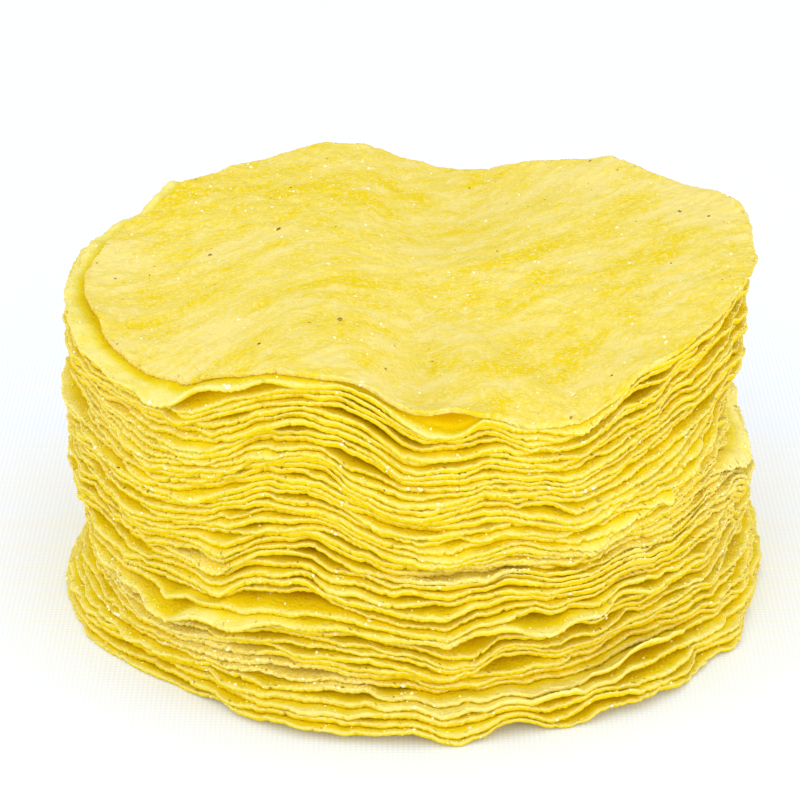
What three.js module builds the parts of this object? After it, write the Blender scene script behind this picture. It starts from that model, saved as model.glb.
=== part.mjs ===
// A tall stack of thin corn tortillas, loosely squared up, each sheet waved and ruffled at its rim.
// Millimetres, +Z up, the origin under the middle of the stack on the surface that it stands on.
import * as THREE from 'three';

// ---------------------------------------------------------------- driving sizes

const SHEET_COUNT = 46;
const SHEET_THICKNESS = 1.1;
const LEAST_GAP = 0.25;

// Height of a sheet's top face before its waves, at a few sheet numbers counted from the bottom.
const LEVELS = [
  { sheet: 1, height: 1.1 },
  { sheet: 5, height: 7.8 },
  { sheet: 14, height: 22.6 },
  { sheet: 20, height: 33.0 },
  { sheet: 24, height: 38.8 },
  { sheet: 33, height: 52.8 },
  { sheet: 46, height: 72.2 },
];

// Radius of a sheet, and how far its middle lies to the right (+X) and towards the front (-Y).
const PLACES = [
  { sheet: 1, radius: 80.4, right: -0.3, front: 2.4 },
  { sheet: 4, radius: 79.8, right: -0.3, front: 1.8 },
  { sheet: 6, radius: 77.4, right: 0.4, front: 0.8 },
  { sheet: 13, radius: 76.6, right: 0.3, front: 0.2 },
  { sheet: 14, radius: 78.2, right: -0.2, front: 1.6 },
  { sheet: 16, radius: 77.2, right: -0.4, front: 0.4 },
  { sheet: 24, radius: 76.4, right: -1.2, front: 0.2 },
  { sheet: 30, radius: 76.0, right: -2.4, front: 0.2 },
  { sheet: 43, radius: 75.8, right: -1.8, front: 0.0 },
  { sheet: 45, radius: 76.4, right: -0.8, front: 0.2 },
  { sheet: 46, radius: 75.0, right: 1.2, front: 0.4 },
];

// Long waves that run through the whole stack, like corrugations from front to back. The angle is
// measured from +X, the rise at the rim is given at the foot, at mid height and at the top.
const SWELLS = [
  { angle: -108, width: 10, foot: 0.5, middle: 7.5, top: 8.5 },
  { angle: -138, width: 9, foot: 0.0, middle: -2.5, top: -3.5 },
  { angle: -87, width: 5, foot: 0.0, middle: -1.0, top: -4.0 },
  { angle: -76, width: 5, foot: 0.0, middle: 3.0, top: 3.5 },
  { angle: -67, width: 9, foot: 0.0, middle: 0.5, top: -7.0 },
  { angle: -25, width: 17, foot: 0.5, middle: 5.5, top: 8.5 },
  { angle: 18, width: 14, foot: 0.5, middle: 3.0, top: 5.5 },
  { angle: 52, width: 11, foot: 0.5, middle: 1.5, top: 3.5 },
  { angle: 79, width: 9, foot: 0.0, middle: -2.5, top: -6.0 },
  { angle: 103, width: 9, foot: 0.5, middle: 2.5, top: 2.5 },
  { angle: 130, width: 8, foot: 0.0, middle: 1.0, top: 2.0 },
  { angle: 152, width: 10, foot: 0.5, middle: 0.5, top: -2.5 },
];

// Flaps and folds of single sheets near the rim: the sheet bends by rise (mm) at the rim and
// reaches out by reach (mm) past its own outline. Sheets first to last share the fold.
const FOLDS = [
  { first: 46, last: 46, angle: -137, width: 11, rise: 2.5, reach: -1.5 },
  { first: 46, last: 46, angle: -152, width: 7, rise: 1.5, reach: -0.5 },
  { first: 46, last: 46, angle: -86, width: 6, rise: 4.5, reach: -0.5 },
  { first: 46, last: 46, angle: -72, width: 6, rise: -1.5, reach: 0.0 },
  { first: 46, last: 46, angle: -12, width: 10, rise: 0.0, reach: -0.8 },
  { first: 46, last: 46, angle: 20, width: 7, rise: 0.8, reach: 3.2 },
  { first: 46, last: 46, angle: 150, width: 14, rise: 0.0, reach: -0.6 },
  { first: 45, last: 46, angle: 157, width: 4, rise: 0.0, reach: 1.8 },
  { first: 45, last: 46, angle: 147, width: 4, rise: -1.4, reach: -0.4 },
  { first: 45, last: 45, angle: -139, width: 7, rise: -3.5, reach: 2.6 },
  { first: 45, last: 45, angle: -122, width: 4, rise: 1.5, reach: 0.4 },
  { first: 45, last: 45, angle: -166, width: 10, rise: -2.0, reach: 2.0 },
  { first: 44, last: 44, angle: -162, width: 12, rise: -3.5, reach: 1.6 },
  { first: 42, last: 44, angle: -127, width: 6, rise: -2.0, reach: 0.3 },
  { first: 40, last: 43, angle: -84, width: 8, rise: -1.0, reach: -1.4 },
  { first: 36, last: 38, angle: -128, width: 7, rise: -1.2, reach: 1.2 },
  { first: 32, last: 36, angle: -174, width: 12, rise: -0.5, reach: -1.8 },
  { first: 27, last: 31, angle: -176, width: 10, rise: -1.0, reach: 1.0 },
  { first: 32, last: 34, angle: -94, width: 6, rise: -1.0, reach: 0.9 },
  { first: 25, last: 30, angle: -4, width: 14, rise: 0.0, reach: -3.4 },
  { first: 24, last: 24, angle: -14, width: 9, rise: -9.5, reach: 1.4 },
  { first: 18, last: 27, angle: 8, width: 9, rise: 0.0, reach: -3.0 },
  { first: 24, last: 26, angle: -50, width: 7, rise: 1.5, reach: 0.8 },
  { first: 22, last: 24, angle: -78, width: 13, rise: -2.0, reach: -2.2 },
  { first: 21, last: 23, angle: -12, width: 10, rise: -6.0, reach: -0.4 },
  { first: 17, last: 20, angle: -12, width: 11, rise: -3.5, reach: 0.6 },
  { first: 10, last: 16, angle: -10, width: 12, rise: -1.5, reach: -0.6 },
  { first: 14, last: 14, angle: -126, width: 9, rise: -3.0, reach: 2.0 },
  { first: 14, last: 14, angle: -75, width: 16, rise: 0.4, reach: 1.0 },
  { first: 8, last: 16, angle: -164, width: 14, rise: -0.5, reach: -1.8 },
  { first: 3, last: 14, angle: 176, width: 12, rise: 0.0, reach: -2.8 },
  { first: 4, last: 6, angle: -50, width: 6, rise: 4.0, reach: 1.4 },
  { first: 4, last: 7, angle: -25, width: 9, rise: -2.0, reach: 1.2 },
  { first: 3, last: 5, angle: -92, width: 5, rise: 2.0, reach: 0.5 },
  { first: 3, last: 5, angle: -72, width: 5, rise: 1.2, reach: 0.5 },
  { first: 1, last: 4, angle: -139, width: 13, rise: 0.3, reach: -2.2 },
  { first: 1, last: 4, angle: -154, width: 6, rise: 0.0, reach: 1.2 },
  { first: 1, last: 3, angle: -124, width: 6, rise: 0.0, reach: -1.2 },
  { first: 1, last: 3, angle: -63, width: 6, rise: 0.0, reach: 1.0 },
  { first: 1, last: 4, angle: -178, width: 6, rise: 0.0, reach: 0.8 },
  { first: 1, last: 4, angle: 168, width: 8, rise: 0.0, reach: -2.4 },
  { first: 1, last: 2, angle: -92, width: 12, rise: 0.0, reach: 0.8 },
  { first: 1, last: 3, angle: -56, width: 5, rise: 2.5, reach: 0.4 },
  { first: 1, last: 3, angle: -48, width: 5, rise: 0.0, reach: 2.4 },
  { first: 1, last: 3, angle: -30, width: 5, rise: 0.0, reach: 1.4 },
  { first: 1, last: 3, angle: -20, width: 6, rise: 0.0, reach: -1.6 },
  { first: 1, last: 3, angle: -40, width: 4, rise: 0.5, reach: -1.4 },
  { first: 1, last: 3, angle: -73, width: 4, rise: 3.0, reach: 0.0 },
  { first: 1, last: 3, angle: -90, width: 5, rise: 3.0, reach: 0.6 },
  { first: 1, last: 3, angle: -108, width: 5, rise: 1.5, reach: 0.4 },
  { first: 1, last: 4, angle: -8, width: 9, rise: 1.0, reach: 0.0 },
];

// Small uneven ruffles and wobbles of the outline. Each sheet takes most of them from the sheet
// that it lies on, and adds some of its own.
const SEED = 20417;
const RUFFLE_WAVES = [5, 7, 9, 11, 13, 16];
const RUFFLE_HEIGHT = 0.5;
const RUFFLE_KEPT = 0.8;
const OUTLINE_WAVES = [2, 3, 4, 5, 7, 9];
const OUTLINE_WOBBLE = 0.36;
const OUTLINE_KEPT = 0.6;
const SLIDE = 0.55;

// The rim is bent freely, and the sheet lies quiet inside this radius.
const QUIET_RADIUS = 58;

// Each face is a fan about the middle, then rings of points out to the rim. A ring has as many
// points as the one inside it, or twice as many.
const RIM_POINTS = 48;
const PLAIN_RINGS = [{ radius: 60, points: 24 }];
const TOP_RINGS = [
  { radius: 22, points: 12 },
  { radius: 42, points: 24 },
  { radius: 58, points: 48 },
  { radius: 68, points: 48 },
];

// Sheets are settled on each other in this many passes over points on a polar grid.
const SETTLE_PASSES = 120;
const CHECK_ANGLES = 192;
const CHECK_RADII = [0, 20, 40, 50, 58, 62, 65, 68, 70, 72, 73.5, 75, 76, 77, 78, 79, 80, 81];
const JUST_INSIDE = 0.99999;

// ---------------------------------------------------------------- small helpers

const radians = (degrees) => degrees * Math.PI / 180;

function makeRandom(seed) {
  let state = seed;
  return () => {
    state = (state * 1664525 + 1013904223) % 4294967296;
    return state / 4294967296 * 2 - 1;
  };
}

// Straight lines between the knots of a table that is sorted by its key.
function between(knots, key, value, at) {
  const last = knots.length - 1;
  if (at <= knots[0][key]) return knots[0][value];
  for (let i = 0; i < last; i += 1) {
    const low = knots[i];
    const high = knots[i + 1];
    if (at <= high[key]) {
      return low[value] + (high[value] - low[value]) * (at - low[key]) / (high[key] - low[key]);
    }
  }
  return knots[last][value];
}

// A round hump of height 1 at its middle, by the angle to it in degrees.
function hump(angle, middle, width) {
  const off = ((angle - middle + 540) % 360) - 180;
  return Math.exp(-0.5 * (off / width) ** 2);
}

// ---------------------------------------------------------------- waves and outlines

const STACK_HEIGHT = LEVELS[LEVELS.length - 1].height;

function swellAtRim(level, angle) {
  const t = level / STACK_HEIGHT * 2;
  let rise = 0;
  for (const swell of SWELLS) {
    const size = t < 1
      ? swell.foot + (swell.middle - swell.foot) * t
      : swell.middle + (swell.top - swell.middle) * (t - 1);
    rise += size * hump(angle, swell.angle, swell.width);
  }
  return rise;
}

// Inside the rim, the waves run straight from the front of the rim to the back of it.
function swell(level, x, y, radius) {
  const across = THREE.MathUtils.clamp(x / radius, -0.999, 0.999);
  const half = Math.sqrt(1 - across * across);
  const angle = Math.acos(across) * 180 / Math.PI;
  const back = THREE.MathUtils.clamp((y / radius / half + 1) / 2, 0, 1);
  return swellAtRim(level, -angle) * (1 - back) + swellAtRim(level, angle) * back;
}

function waveSum(waves, terms, angle) {
  return waves.reduce((sum, wave, i) => (
    sum + terms[2 * i] * Math.cos(wave * radians(angle)) + terms[2 * i + 1] * Math.sin(wave * radians(angle))
  ), 0);
}

function driftTerms(previous, kept, size, random) {
  return previous.map((term) => term * kept + random() * size * Math.sqrt(1 - kept * kept));
}

function foldSum(sheet, angle, part) {
  return FOLDS
    .filter((fold) => sheet >= fold.first && sheet <= fold.last)
    .reduce((sum, fold) => sum + fold[part] * hump(angle, fold.angle, fold.width), 0);
}

function describeSheets() {
  const random = makeRandom(SEED);
  let ruffle = new Array(RUFFLE_WAVES.length * 2).fill(0);
  let wobble = new Array(OUTLINE_WAVES.length * 2).fill(0);
  let slide = [0, 0];
  const sheets = [];
  for (let number = 1; number <= SHEET_COUNT; number += 1) {
    ruffle = driftTerms(ruffle, RUFFLE_KEPT, RUFFLE_HEIGHT, random);
    wobble = driftTerms(wobble, OUTLINE_KEPT, OUTLINE_WOBBLE, random);
    slide = driftTerms(slide, OUTLINE_KEPT, SLIDE, random);
    const ruffleTerms = ruffle;
    const wobbleTerms = wobble;
    const radius = between(PLACES, 'sheet', 'radius', number);
    const right = between(PLACES, 'sheet', 'right', number) + slide[0];
    const front = between(PLACES, 'sheet', 'front', number) + slide[1];
    const level = between(LEVELS, 'sheet', 'height', number) - SHEET_THICKNESS;
    sheets.push({
      number,
      outline: (angle) => radius
        + right * Math.cos(radians(angle))
        - front * Math.sin(radians(angle))
        + waveSum(OUTLINE_WAVES, wobbleTerms, angle)
        + foldSum(number, angle, 'reach'),
      underside: (x, y, atRim) => {
        const angle = Math.atan2(y, x) * 180 / Math.PI;
        const bend = Math.max(0, (Math.hypot(x, y) - QUIET_RADIUS) / (radius - QUIET_RADIUS));
        const ruffled = waveSum(RUFFLE_WAVES, ruffleTerms, angle) + foldSum(number, angle, 'rise');
        return level + swell(level, x, y, radius) + ruffled * (atRim ? 1 : bend * bend);
      },
    });
  }
  return sheets;
}

// ---------------------------------------------------------------- one sheet's points and faces

function layPoints(sheet) {
  const inner = sheet.number === SHEET_COUNT ? TOP_RINGS : PLAIN_RINGS;
  const rows = [{ start: 0, points: 1 }];
  const points = [{ x: 0, y: 0, z: sheet.underside(0, 0, false) }];
  for (const ring of [...inner, { points: RIM_POINTS, rim: true }]) {
    rows.push({ start: points.length, points: ring.points });
    for (let i = 0; i < ring.points; i += 1) {
      const angle = 360 * i / ring.points - 180;
      const radius = ring.rim ? sheet.outline(angle) : ring.radius;
      const x = radius * Math.cos(radians(angle));
      const y = radius * Math.sin(radians(angle));
      points.push({ x, y, z: Math.max(0, sheet.underside(x, y, Boolean(ring.rim))) });
    }
  }
  return { points, rows };
}

// Triangles of one face, seen from above with their corners anticlockwise.
function faceTriangles(rows) {
  const triangles = [];
  for (let r = 1; r < rows.length; r += 1) {
    const inner = rows[r - 1];
    const outer = rows[r];
    const step = outer.points / inner.points;
    for (let i = 0; i < outer.points; i += 1) {
      const a = outer.start + i;
      const b = outer.start + (i + 1) % outer.points;
      const c = inner.start + Math.round((i + 0.25) / step) % inner.points;
      triangles.push([a, b, c]);
      const next = inner.start + Math.round((i + 1.25) / step) % inner.points;
      if (next !== c) triangles.push([b, next, c]);
    }
  }
  return triangles;
}

// ---------------------------------------------------------------- settling

// Where a place in the plan falls on a sheet: the corners of its triangle and their shares.
function findPlace(sheet, x, y) {
  for (const [a, b, c] of sheet.triangles) {
    const A = sheet.points[a];
    const B = sheet.points[b];
    const C = sheet.points[c];
    const area = (B.x - A.x) * (C.y - A.y) - (C.x - A.x) * (B.y - A.y);
    const shareB = ((x - A.x) * (C.y - A.y) - (C.x - A.x) * (y - A.y)) / area;
    const shareC = ((B.x - A.x) * (y - A.y) - (x - A.x) * (B.y - A.y)) / area;
    const shareA = 1 - shareB - shareC;
    if (Math.min(shareA, shareB, shareC) > -1e-9) {
      return { corners: [A, B, C], shares: [shareA, shareB, shareC] };
    }
  }
  return null;
}

function heightAt({ corners, shares }) {
  return corners[0].z * shares[0] + corners[1].z * shares[1] + corners[2].z * shares[2];
}

function lift({ corners, shares }, rise) {
  const weight = shares[0] ** 2 + shares[1] ** 2 + shares[2] ** 2;
  corners.forEach((corner, i) => {
    if (!corner.fixed) corner.z = Math.max(0, corner.z + rise * shares[i] / weight);
  });
}

function contactPlaces(lower, upper) {
  const places = [];
  const tryPlace = (x, y) => {
    const below = findPlace(lower, x, y);
    const above = findPlace(upper, x, y);
    if (below && above) places.push({ below, above });
  };
  for (const radius of CHECK_RADII) {
    for (let i = 0; i < CHECK_ANGLES; i += 1) {
      const angle = radians(360 * i / CHECK_ANGLES);
      tryPlace(radius * Math.cos(angle), radius * Math.sin(angle));
    }
  }
  for (const sheet of [lower, upper]) {
    sheet.points.slice(-RIM_POINTS).forEach(({ x, y }) => tryPlace(x * JUST_INSIDE, y * JUST_INSIDE));
  }
  return places;
}

// Neighbours that press into each other share the move, upwards through the stack and back down.
function settle(sheets) {
  const contacts = [];
  for (let i = 1; i < sheets.length; i += 1) {
    contacts.push(contactPlaces(sheets[i - 1], sheets[i]));
  }
  for (let pass = 0; pass < SETTLE_PASSES; pass += 1) {
    const order = pass % 2 === 0 ? contacts : [...contacts].reverse();
    for (const { below, above } of order.flat()) {
      const short = heightAt(below) + SHEET_THICKNESS + LEAST_GAP - heightAt(above);
      if (short > 0) {
        lift(above, short / 2);
        lift(below, -short / 2);
      }
    }
  }
}

// ---------------------------------------------------------------- solids

function sheetGeometry(sheet) {
  const count = sheet.points.length;
  const positions = [];
  for (const rise of [0, SHEET_THICKNESS]) {
    for (const { x, y, z } of sheet.points) positions.push(x, y, z + rise);
  }
  const indices = [];
  for (const [a, b, c] of sheet.triangles) {
    indices.push(a + count, b + count, c + count);
    indices.push(a, c, b);
  }
  const rim = count - RIM_POINTS;
  for (let i = 0; i < RIM_POINTS; i += 1) {
    const a = rim + i;
    const b = rim + (i + 1) % RIM_POINTS;
    indices.push(a, b, b + count);
    indices.push(a, b + count, a + count);
  }
  const geometry = new THREE.BufferGeometry();
  geometry.setAttribute('position', new THREE.Float32BufferAttribute(positions, 3));
  geometry.setIndex(indices);
  geometry.computeVertexNormals();
  return geometry;
}

function tortillaColour(number) {
  const shade = new THREE.Color();
  shade.setHSL(0.142 - 0.006 * (number % 3), 0.86, 0.62 + 0.02 * (number % 4));
  return shade;
}

function makeStack() {
  const sheets = describeSheets().map((sheet) => {
    const { points, rows } = layPoints(sheet);
    return { number: sheet.number, points, triangles: faceTriangles(rows) };
  });
  const bottom = sheets[0];
  bottom.points.slice(0, -RIM_POINTS).forEach((point) => {
    point.z = 0;
    point.fixed = true;
  });
  settle(sheets);

  const group = new THREE.Group();
  for (const sheet of sheets) {
    const material = new THREE.MeshStandardMaterial({
      color: tortillaColour(sheet.number),
      roughness: 0.82,
      metalness: 0,
    });
    const mesh = new THREE.Mesh(sheetGeometry(sheet), material);
    mesh.name = `tortilla_${String(sheet.number).padStart(2, '0')}`;
    group.add(mesh);
  }
  return group;
}

export default makeStack();
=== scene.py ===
import math

import bpy
import numpy as np
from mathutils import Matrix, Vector


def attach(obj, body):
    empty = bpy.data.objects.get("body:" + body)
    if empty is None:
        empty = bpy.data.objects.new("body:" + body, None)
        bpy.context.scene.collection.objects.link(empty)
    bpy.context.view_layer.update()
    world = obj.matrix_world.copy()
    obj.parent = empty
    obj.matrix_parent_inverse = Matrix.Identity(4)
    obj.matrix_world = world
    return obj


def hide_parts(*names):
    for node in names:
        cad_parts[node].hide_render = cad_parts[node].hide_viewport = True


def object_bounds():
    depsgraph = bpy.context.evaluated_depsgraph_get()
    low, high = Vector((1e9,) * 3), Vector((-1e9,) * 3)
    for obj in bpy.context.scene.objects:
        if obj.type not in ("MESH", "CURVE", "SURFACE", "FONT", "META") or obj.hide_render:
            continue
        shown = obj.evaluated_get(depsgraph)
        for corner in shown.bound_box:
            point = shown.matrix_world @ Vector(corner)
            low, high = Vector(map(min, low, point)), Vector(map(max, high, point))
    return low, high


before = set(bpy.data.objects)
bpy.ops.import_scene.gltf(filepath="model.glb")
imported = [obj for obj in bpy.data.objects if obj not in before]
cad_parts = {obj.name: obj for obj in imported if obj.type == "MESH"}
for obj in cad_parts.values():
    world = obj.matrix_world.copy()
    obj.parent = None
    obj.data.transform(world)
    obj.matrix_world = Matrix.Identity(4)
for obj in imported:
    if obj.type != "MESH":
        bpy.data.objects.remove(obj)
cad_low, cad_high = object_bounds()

# ================================================================ cloth, light and camera
# The stack stands on a plain white cotton cloth, in soft daylight from the upper left, with a
# white reflector low on the right and pale walls on both sides. Lengths here are in metres.

CLOTH_SIDE = 6.0
THREAD_PITCH = 0.0011
THREAD_SHADE = (0.84, 0.89, 1.0)
THREAD_LIGHT = (0.97, 0.99, 1.0)
# A wave texture of scale 1 goes through this many radians in a metre.
WAVE_RADIANS = 20.0


def add_node(tree, kind, inputs, **settings):
    """A node whose inputs are given by name or number, each as a value or as another's output."""
    node = tree.nodes.new(kind)
    for label, value in settings.items():
        setattr(node, label, value)
    for label, value in inputs.items():
        if isinstance(value, bpy.types.NodeSocket):
            tree.links.new(value, node.inputs[label])
        else:
            node.inputs[label].default_value = value
    return node


def add_math(tree, operation, first, second):
    return add_node(tree, "ShaderNodeMath", {0: first, 1: second}, operation=operation).outputs[0]


def add_colours(tree, factor, first, second):
    """A mix of two colours, each of them an output or its red, green and blue."""
    first, second = ((*colour, 1) if isinstance(colour, tuple) else colour for colour in (first, second))
    mix = add_node(tree, "ShaderNodeMix", {"Factor": factor, "A": first, "B": second}, data_type="RGBA")
    return mix.outputs["Result"]


def start_material(name, roughness, shine):
    """A plain material, with its node tree, its shader and its object coordinates."""
    material = bpy.data.materials.new(name)
    material.use_nodes = True
    tree = material.node_tree
    shader = tree.nodes["Principled BSDF"]
    shader.inputs["Roughness"].default_value = roughness
    shader.inputs["Specular IOR Level"].default_value = shine
    return material, tree, shader, tree.nodes.new("ShaderNodeTexCoord").outputs["Object"]


edge = CLOTH_SIDE / 2
cloth_mesh = bpy.data.meshes.new("white_cloth")
cloth_mesh.from_pydata(
    [(-edge, -edge, 0), (edge, -edge, 0), (edge, edge, 0), (-edge, edge, 0)], [], [(0, 1, 2, 3)]
)
cloth = bpy.data.objects.new("white_cloth", cloth_mesh)
bpy.context.scene.collection.objects.link(cloth)

cotton, tree, shader, where = start_material("white_cotton", 0.95, 0.1)
threads = []
for direction in ("X", "Y"):
    thread = add_node(tree, "ShaderNodeTexWave", {
        "Vector": where, "Scale": 2 * math.pi / THREAD_PITCH / WAVE_RADIANS,
        "Distortion": 0.6, "Detail": 1.0,
    }, bands_direction=direction)
    threads.append(thread.outputs["Fac"])
weave = add_colours(tree, add_math(tree, "MULTIPLY", *threads), THREAD_SHADE, THREAD_LIGHT)
tree.links.new(weave, shader.inputs["Base Color"])
cloth_mesh.materials.append(cotton)

sky = bpy.data.worlds.new("soft_daylight")
bpy.context.scene.world = sky
sky.use_nodes = True
daylight = sky.node_tree.nodes["Background"]
daylight.inputs["Color"].default_value = (0.975, 0.985, 1.0, 1)
daylight.inputs["Strength"].default_value = 1.05

LIT_POINT = Vector((0, 0, 0.03))
for name, size, energy, place in (
    ("window_light", 0.9, 2.8, (-0.34, -1.10, 0.92)),
    ("reflector", 0.8, 3.7, (0.58, -1.02, 0.28)),
    ("left_wall", 0.8, 2.4, (-0.95, -0.45, 0.28)),
    ("right_wall", 0.8, 1.5, (0.95, -0.45, 0.28)),
):
    light = bpy.data.objects.new(name, bpy.data.lights.new(name, "AREA"))
    light.data.size = size
    light.data.energy = energy
    light.location = place
    light.rotation_euler = (LIT_POINT - light.location).to_track_quat("-Z", "Y").to_euler()
    bpy.context.scene.collection.objects.link(light)

bpy.context.scene.view_settings.view_transform = "Standard"
bpy.context.scene.view_settings.look = "None"

AIM = Vector((-0.00291, 0.00134, 0.03966))
CAMERA_DISTANCE = 0.7037
CAMERA_ELEVATION = math.radians(25.41)
LENS_MM = 139.04
SENSOR_MM = 36.0
camera = bpy.data.objects.new("camera", bpy.data.cameras.new("camera"))
camera.data.lens = LENS_MM
camera.data.sensor_width = SENSOR_MM
towards_camera = Vector((0, -math.cos(CAMERA_ELEVATION), math.sin(CAMERA_ELEVATION)))
camera.location = AIM + towards_camera * CAMERA_DISTANCE
camera.rotation_euler = (-towards_camera).to_track_quat("-Z", "Y").to_euler()
bpy.context.scene.collection.objects.link(camera)
bpy.context.scene.camera = camera

# ================================================================ how the 46 tortillas lie
# Each tortilla is a thin pressed round of maize dough. Its middle, rings and rim are taken from
# its solid, small waves are added near the rim, and all are then set on one another so that
# none cuts into the next. Heights and radii here are in millimetres.

MM = 0.001
# A solid has a point in the middle, one ring or more, each with its radius and its number of
# points, and a rim. A sheet is laid on a finer grid: sectors round it, and columns by radius.
SOLID_RINGS = [(60.0, 24)]
TOP_RINGS = [(22.0, 12), (42.0, 24), (58.0, 48), (68.0, 48)]
RIM_POINTS = 48
RING_SLACK = 0.4
RIM_CLEAR = 1.5
SECTORS = 1080
COLUMN_RADII = np.array([
    0, 5.5, 11, 16.5, 22, 27, 32, 37, 42, 50, 55, 58, 60, 62, 64, 65.5, 67, 68, 69, 70, 71, 72,
    73, 74, 75, 76, 77, 78, 79, 80, 81, 82, 83, 84, 85.5,
])
THICKNESS = 1.37
THICKNESS_SPREAD = 0.24
PRESSED = 0.07
LEAST_GAP = 0.02
MEAN_RADIUS = 76.0
SEED = 4183

sheet_names = sorted(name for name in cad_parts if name.startswith("tortilla_"))
sheet_count = len(sheet_names)
sector_degrees = np.arange(SECTORS) * 360 / SECTORS - 180
sector_angles = np.radians(sector_degrees)
random = np.random.RandomState(SEED)


def around(values, count):
    """A smooth closed curve through evenly spaced values, read at count even steps."""
    values = np.asarray(values, float)
    total = len(values)
    at = np.arange(count) * total / count
    i = at.astype(int)
    t = at - i
    before, here, after, beyond = (values[(i + step) % total] for step in (-1, 0, 1, 2))
    bend = 2 * before - 5 * here + 4 * after - beyond
    twist = 3 * (here - after) + beyond - before
    return here + 0.5 * t * (after - before + t * (bend + t * twist))


def read_rings(name, rings):
    """Underside heights of a solid's rings and rim, and the rim's radii, all at even angles."""
    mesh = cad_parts[name].data
    points = np.empty(len(mesh.vertices) * 3)
    mesh.vertices.foreach_get("co", points)
    points = points.reshape(-1, 3) / MM
    radius = np.hypot(points[:, 0], points[:, 1])
    degrees = np.degrees(np.arctan2(points[:, 1], points[:, 0]))
    heights = [np.full(4, points[radius < 1, 2].min())]
    radii = [np.zeros(SECTORS)]
    in_rings = [(abs(radius - ring_radius) < RING_SLACK, count) for ring_radius, count in rings]
    for chosen, count in in_rings + [(radius > rings[-1][0] + RIM_CLEAR, RIM_POINTS)]:
        slot = np.round((degrees[chosen] + 180) / 360 * count).astype(int) % count
        under = np.full(count, np.nan)
        reach = np.full(count, np.nan)
        for s, z, r in zip(slot, points[chosen, 2], radius[chosen]):
            under[s] = np.nanmin([under[s], z])
            reach[s] = np.nanmax([reach[s], r])
        known = np.flatnonzero(~np.isnan(under))
        every = np.arange(count)
        under = np.interp(every, known, under[known], period=count)
        reach = np.interp(every, known, reach[known], period=count)
        heights.append(under)
        radii.append(around(reach, SECTORS))
    return [around(row, SECTORS) for row in heights], radii


def along(radii, heights, columns):
    """Heights at every column radius, by smooth curves from the middle out to the rim."""
    radii = np.array(radii)
    heights = np.array(heights)
    # In the middle a sheet is a tilted plane.
    turns = np.stack([np.cos(sector_angles), np.sin(sector_angles)])
    slopes = [turns.T @ (turns @ heights[1]) * 2 / SECTORS / radii[1]]
    for k in range(1, len(radii) - 1):
        inner = (heights[k] - heights[k - 1]) / (radii[k] - radii[k - 1])
        outer = (heights[k + 1] - heights[k]) / (radii[k + 1] - radii[k])
        slopes.append((inner + outer) / 2)
    slopes.append((heights[-1] - heights[-2]) / (radii[-1] - radii[-2]))
    out = np.empty((len(columns), SECTORS))
    for c, column in enumerate(columns):
        row = heights[-1] + slopes[-1] * (column - radii[-1])
        for k in range(len(radii) - 1):
            span = radii[k + 1] - radii[k]
            t = (column - radii[k]) / span
            inside = (t >= 0) & (t <= 1)
            value = (
                heights[k] * (1 + 2 * t) * (1 - t) ** 2 + slopes[k] * span * t * (1 - t) ** 2
                + heights[k + 1] * t ** 2 * (3 - 2 * t) + slopes[k + 1] * span * t ** 2 * (t - 1)
            )
            row = np.where(inside, value, row)
        out[c] = row
    return out


def degrees_off(degrees, middle):
    """Angles as seen from a middle one, between -180 and 180 degrees."""
    return (degrees - middle + 540) % 360 - 180


def hump(middle, width):
    """A round hump of height 1, by the angle to its middle in degrees."""
    return np.exp(-0.5 * (degrees_off(sector_degrees, middle) / width) ** 2)


def ripple(shortest, longest, size):
    """Even noise round the rim whose waves are between the two lengths in mm."""
    girth = 2 * math.pi * MEAN_RADIUS
    counts = np.arange(max(1, round(girth / longest)), round(girth / shortest) + 1)
    terms = random.normal(size=(2, len(counts)))
    turns = np.outer(counts, sector_angles)
    wave = terms[0] @ np.cos(turns) + terms[1] @ np.sin(turns)
    return wave * size / math.sqrt(len(counts))


def drifting(shortest, longest, size, kept):
    """The same for every sheet, where each keeps a share of what the one below it has."""
    rows = [ripple(shortest, longest, size)]
    for _ in range(sheet_count - 1):
        rows.append(rows[-1] * kept + ripple(shortest, longest, size) * math.sqrt(1 - kept ** 2))
    return np.array(rows)


rim_radius = np.empty((sheet_count, SECTORS))
rim_level = np.empty((sheet_count, SECTORS))
laid = np.empty((sheet_count, len(COLUMN_RADII), SECTORS))
for k, name in enumerate(sheet_names):
    heights, radii = read_rings(name, TOP_RINGS if k == sheet_count - 1 else SOLID_RINGS)
    laid[k] = along(radii, heights, COLUMN_RADII)
    rim_radius[k] = radii[-1]
    rim_level[k] = heights[-1]


def band(height, depth):
    """A round hump of height 1, by the height of each rim to its middle in mm."""
    return np.exp(-0.5 * ((rim_level - height) / depth) ** 2)


# Long soft ruffles are shared by neighbours, short ones less, and each rim rises and sinks on its
# own so that the layers part and press together along the way. They are calmer at the front left
# and rougher at the right, below the middle.
calm = 1 - 0.45 * hump(-115, 28)
rough = 1 + 0.45 * hump(-25, 24)[None, :] * band(28, 15)
waves = drifting(15, 34, size=0.40, kept=0.93) * calm * rough
waves += drifting(7, 14, size=0.17, kept=0.90) * calm * rough
waves += drifting(3.5, 7, size=0.09, kept=0.65) * rough
parting = drifting(22, 160, size=0.20, kept=0.15) + drifting(9, 22, size=0.09, kept=0.1) * rough

# Flares: short stretches where one sheet's rim stands up or sinks away from its neighbours.
FLARES_PER_SHEET = 3
for k in range(sheet_count):
    for _ in range(FLARES_PER_SHEET):
        middle = random.uniform(-180, 180)
        width = random.uniform(3.0, 8.0)
        parting[k] += random.uniform(-0.9, 1.0) * hump(middle, width)


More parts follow.
